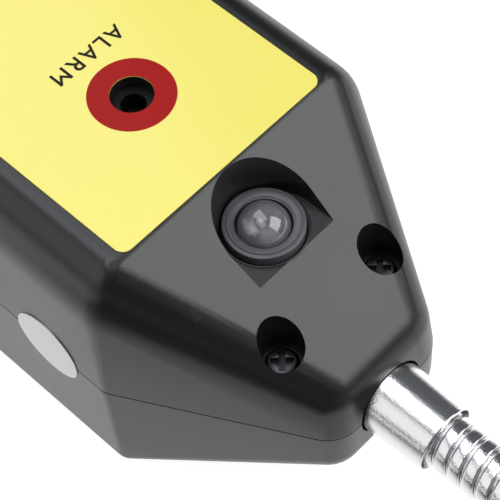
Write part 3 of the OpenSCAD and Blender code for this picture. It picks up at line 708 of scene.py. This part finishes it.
headings = [0.0] + [heading_between(a, b) for a, b in zip(pivots, pivots[1:])]
headings.append(headings[-1])
bodies = ["housing"] + [f"stretch_{k}" for k in range(1, len(pivots) + 1)]
replaced = ["neck_root"] + [f"neck_{k}" for k in range(1, len(pivots))]
for k, pivot in enumerate(pivots):
    before, after = headings[k], headings[k + 1]
    rise = after - before
    piece = copy_of(master)
    corner_cut = 0.0
    if abs(rise) > STRAIGHT:
        add_modifier(piece, "SIMPLE_DEFORM", deform_method="BEND", deform_axis="Y", angle=-rise)
        corner_cut = LENGTH / rise * (1 / math.cos(rise / 2) - 1)
    middle_heading = (before + after) / 2
    upward = Vector((-math.sin(middle_heading), 0, math.cos(middle_heading)))
    lay(piece, pivot + upward * corner_cut, middle_heading)
    smooth(piece, 50)
    hand_over(piece, f"neck_length_{k + 1}", chrome_plate, None, "neck_root", replaced[k])
    if k + 1 in BLENDED_BACK:
        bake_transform(piece)
    else:
        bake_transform(piece)

# %% [markdown]
# Beyond the last pivot only half a length is left, which ends inside the probe's ferrule. It
# doesn't bend, so it rides the last stretch. The straight original has done its work then and
# is removed.

# %% Last half length, inside the probe ferrule
tail_piece = copy_of(master)
cut_square(tail_piece, -LENGTH / 2, 0.0)
lay(tail_piece, pivots[-1] + along(headings[-1]) * LENGTH, headings[-1])
smooth(tail_piece, 50)
hand_over(tail_piece, "neck_length_end", chrome_plate, bodies[-1], "neck_root", "neck_10")
bpy.data.objects.remove(master)

# %% [markdown]
# The camera stands where the photographer stood: its place, tilt and focal length were worked
# out from the label's edges, the ring, the wells, the collar, the parting line and the base.

# %% Camera
AIM = Vector((84.28, -9.10, 62.0)) * MM
AZIMUTH = math.radians(47.552)
ELEVATION = math.radians(57.567)
ROLL = math.radians(-4.680)
DISTANCE = 306.03 * MM
SENSOR_MM = 36.0
FOCAL_MM = 137.21
NEAREST = 0.01
back = Vector((math.sin(AZIMUTH) * math.cos(ELEVATION),
               -math.cos(AZIMUTH) * math.cos(ELEVATION), math.sin(ELEVATION)))
level = Vector((math.cos(AZIMUTH), math.sin(AZIMUTH), 0.0))
upward = back.cross(level)
right = level * math.cos(ROLL) + upward * math.sin(ROLL)
above = upward * math.cos(ROLL) - level * math.sin(ROLL)
camera_data = bpy.data.cameras.new("camera")
camera_data.sensor_width = SENSOR_MM
camera_data.lens = FOCAL_MM
camera_data.clip_start = NEAREST
camera = bpy.data.objects.new("camera", camera_data)
bpy.context.scene.collection.objects.link(camera)
turn = Matrix((right, above, back)).transposed().to_4x4()
camera.matrix_world = Matrix.Translation(AIM + back * DISTANCE) @ turn
bpy.context.scene.camera = camera
print("camera at", [round(c, 3) for c in camera.location])

# %% [markdown]
# The floor is a wide pale sheet. To the camera and to mirror-like surfaces it glows almost
# white, as a lit sweep does, while its own paint still takes the soft shadow of the object. The
# camera sees it neutral, and reflections see it a little warm, as bounced light is.

# %% Floor
FLOOR_R = 8.0
FLOOR_SIDES = 96
FLOOR_GREY = (0.35, 0.35, 0.35, 1)
FLOOR_ROUGH = 0.9
FLOOR_GLOW = 0.92
WARM_WHITE = (1.0, 0.965, 0.955)
clean_slate()
bpy.ops.mesh.primitive_circle_add(vertices=FLOOR_SIDES, radius=FLOOR_R, fill_type="NGON",
                                  location=(0, 0, 0))
floor = bpy.context.object
floor.name = "floor"
floor_paint = bpy.data.materials.new("floor white")
floor_paint.use_nodes = True
tree = floor_paint.node_tree
shader = tree.nodes["Principled BSDF"]
shader.inputs["Base Color"].default_value = FLOOR_GREY
shader.inputs["Roughness"].default_value = FLOOR_ROUGH
shader.inputs["Specular IOR Level"].default_value = 0.0
path = tree.nodes.new("ShaderNodeLightPath")
seen = tree.nodes.new("ShaderNodeMath")
seen.operation = "MAXIMUM"
seen_all = tree.nodes.new("ShaderNodeMath")
seen_all.operation = "MAXIMUM"
glow = tree.nodes.new("ShaderNodeMath")
glow.operation = "MULTIPLY"
glow.inputs[1].default_value = FLOOR_GLOW
tree.links.new(path.outputs["Is Camera Ray"], seen.inputs[0])
tree.links.new(path.outputs["Is Glossy Ray"], seen.inputs[1])
tree.links.new(seen.outputs[0], seen_all.inputs[0])
tree.links.new(path.outputs["Is Transmission Ray"], seen_all.inputs[1])
tree.links.new(seen_all.outputs[0], glow.inputs[0])
warmth = tree.nodes.new("ShaderNodeMix")
warmth.data_type = "RGBA"
warmth.inputs["A"].default_value = (*WARM_WHITE, 1)
warmth.inputs["B"].default_value = (1, 1, 1, 1)
tree.links.new(path.outputs["Is Camera Ray"], warmth.inputs["Factor"])
tree.links.new(warmth.outputs["Result"], shader.inputs["Emission Color"])
tree.links.new(glow.outputs[0], shader.inputs["Emission Strength"])
floor.data.materials.append(floor_paint)
print("floor", floor.name)

# %% [markdown]
# The light is a plain studio set. A large soft box ahead and to the left gives the grey sheen on
# the sloped nose, wide ones overhead light the label evenly, a fill lights the side wall, and
# the room behind stays dim, so the rounded edges of the black casing stay dark. Each box is
# given by its direction, its distance, its size and how bright its face is.

# %% Soft boxes
ROOM_TINT = (0.9, 0.95, 1.0, 1)
ROOM_STRENGTH = 0.1
world = bpy.data.worlds.new("studio")
bpy.context.scene.world = world
world.use_nodes = True
world.node_tree.nodes["Background"].inputs["Color"].default_value = ROOM_TINT
world.node_tree.nodes["Background"].inputs["Strength"].default_value = ROOM_STRENGTH


def soft_box(name, towards, distance, size, radiance, tint=(1.0, 1.0, 1.0)):
    data = bpy.data.lights.new(name, "AREA")
    data.shape = "RECTANGLE"
    data.size, data.size_y = size
    data.energy = radiance * math.pi * size[0] * size[1]
    data.color = tint
    lamp = bpy.data.objects.new(name, data)
    bpy.context.scene.collection.objects.link(lamp)
    direction = Vector(towards).normalized()
    lamp.location = AIM + direction * distance
    lamp.rotation_euler = direction.to_track_quat("Z", "Y").to_euler()
    lamp.visible_camera = False
    print(name, round(data.energy, 2), "W")


soft_box("nose box", (0.57, 0.46, 0.68), distance=1.0, size=(0.9, 0.8), radiance=3.4)
soft_box("top box", (-0.45, 0.10, 0.89), distance=1.1, size=(0.64, 1.3), radiance=2.0,
         tint=(0.92, 0.94, 1.0))
soft_box("overhead box", (-0.02, -0.25, 0.97), distance=1.1, size=(0.8, 0.5), radiance=1.3)
soft_box("side fill", (-0.42, -0.74, 0.5), distance=1.0, size=(1.3, 0.85), radiance=0.88)

# %% [markdown]
# A photographer lays a dark card beside a black object, so that its side doesn't mirror the
# white floor all the way up. This one lies just above the floor, is seen by reflections alone,
# and fades from dark to the floor's white near its far edge, which grades the side of the nose.

# %% Graded card
CARD_AT = Vector((0.431, -0.328, 0.001))
CARD_TURN = math.atan2(0.479, 0.878)
CARD_SIZE = (0.59, 0.86, 1.0)
CARD_DARK = (0.01, 0.01, 0.01, 1)
CARD_GLOW = 0.98
FADE_FROM = 0.407
FADE_TO = 0.486
clean_slate()
bpy.ops.mesh.primitive_plane_add(size=1.0, location=CARD_AT, rotation=(0, 0, CARD_TURN))
card = bpy.context.object
card.name = "graded card"
card.scale = CARD_SIZE
card_paint = bpy.data.materials.new("card grey")
card_paint.use_nodes = True
tree = card_paint.node_tree
shader = tree.nodes["Principled BSDF"]
shader.inputs["Base Color"].default_value = CARD_DARK
shader.inputs["Emission Color"].default_value = (*WARM_WHITE, 1)
place = tree.nodes.new("ShaderNodeTexCoord")
across = tree.nodes.new("ShaderNodeSeparateXYZ")
fade = tree.nodes.new("ShaderNodeMapRange")
fade.inputs["From Min"].default_value = FADE_FROM
fade.inputs["From Max"].default_value = FADE_TO
fade.inputs["To Max"].default_value = CARD_GLOW
tree.links.new(place.outputs["Object"], across.inputs[0])
tree.links.new(across.outputs["Y"], fade.inputs["Value"])
tree.links.new(fade.outputs["Result"], shader.inputs["Emission Strength"])
card.data.materials.append(card_paint)
for hidden in ("visible_camera", "visible_diffuse", "visible_shadow", "visible_transmission"):
    setattr(card, hidden, False)
print("card", card.name)

# %% [markdown]
# Every solid that is not replaced still needs its finish, also where only a glimpse of it shows
# through a slot.

# %% Finishes for the remaining solids
remaining = {
    "sounder": sounder_black_and_shade, "circuit_board": board_green, "board_components": part_dark,
    "board_screws": plain_steel, "control_pot": pot_blue, "battery_cells": cell_sleeve,
    "contact_plates": plain_steel, "contact_springs": plain_steel, "seal_sticker": sticker_silver,
    "sensor_lead": lead_rubber, "probe_ferrule": chrome_plate,
    "sensor_socket": part_dark, "sensor_element": brass_can,
}
for node, material in remaining.items():
    nodes[node].data.materials.clear()
    nodes[node].data.materials.append(material)
print("finished solids", len(remaining))

# %% [markdown]
# The view transform is Standard, so that a colour renders as it is written.

# %% View settings
bpy.context.scene.view_settings.view_transform = "Standard"
clean_slate()
